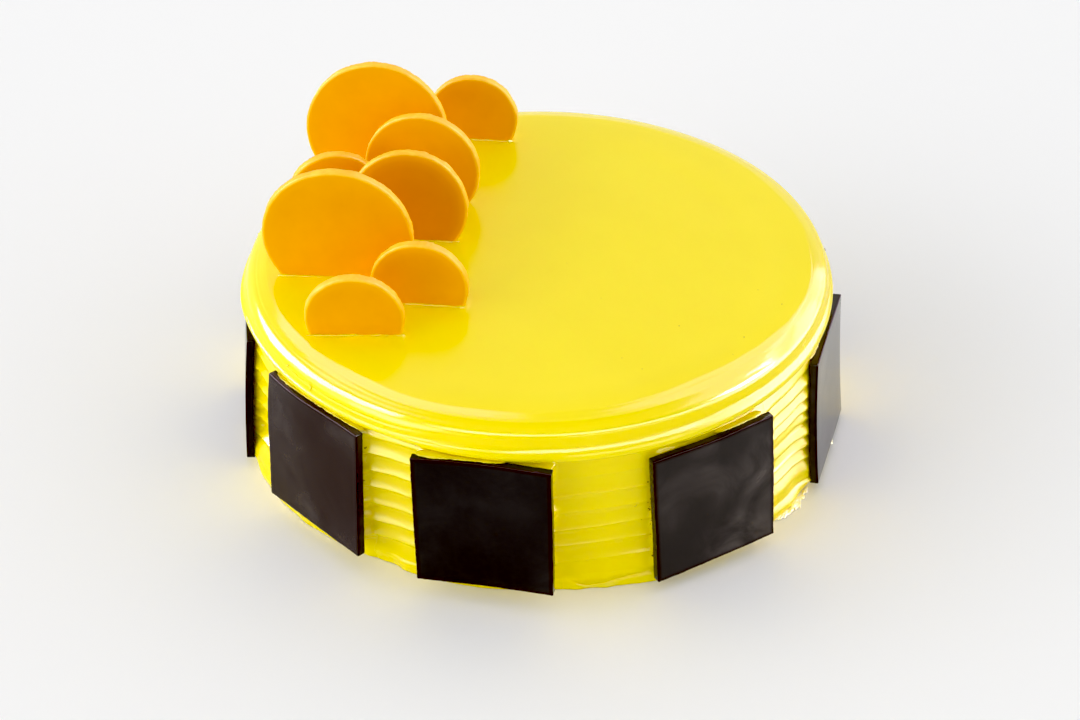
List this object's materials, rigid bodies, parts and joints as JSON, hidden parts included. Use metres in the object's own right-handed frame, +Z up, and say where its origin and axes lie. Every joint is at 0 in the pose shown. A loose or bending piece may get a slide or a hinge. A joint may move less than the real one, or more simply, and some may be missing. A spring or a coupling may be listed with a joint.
{
  "type": "mango cake",
  "caption": "Round layer cake in yellow cream with a combed side, dark chocolate squares leaning round it and orange chocolate discs standing upright in its top.",
  "frame": {"origin": "middle of the flat underside, on the cake's axis", "axes": "+Z up through the cake; -Y is the front, which the picture looks at; +X is to the right in the picture"},
  "size_m": [0.222, 0.2226, 0.1141],
  "materials": {
    "cream": null,
    "orange_chocolate": null,
    "dark_chocolate": null
  },
  "bodies": {
    "root": {"cake": "cream", "disc_1": "orange_chocolate", "disc_2": "orange_chocolate", "disc_3": "orange_chocolate", "disc_4": "orange_chocolate", "disc_5": "orange_chocolate", "disc_6": "orange_chocolate", "disc_7": "orange_chocolate", "disc_8": "orange_chocolate", "plaque_1": "dark_chocolate", "plaque_2": "dark_chocolate", "plaque_3": "dark_chocolate", "plaque_4": "dark_chocolate", "plaque_5": "dark_chocolate", "plaque_6": "dark_chocolate", "plaque_7": "dark_chocolate", "plaque_8": "dark_chocolate", "plaque_9": "dark_chocolate"}
  },
  "joints": []
}
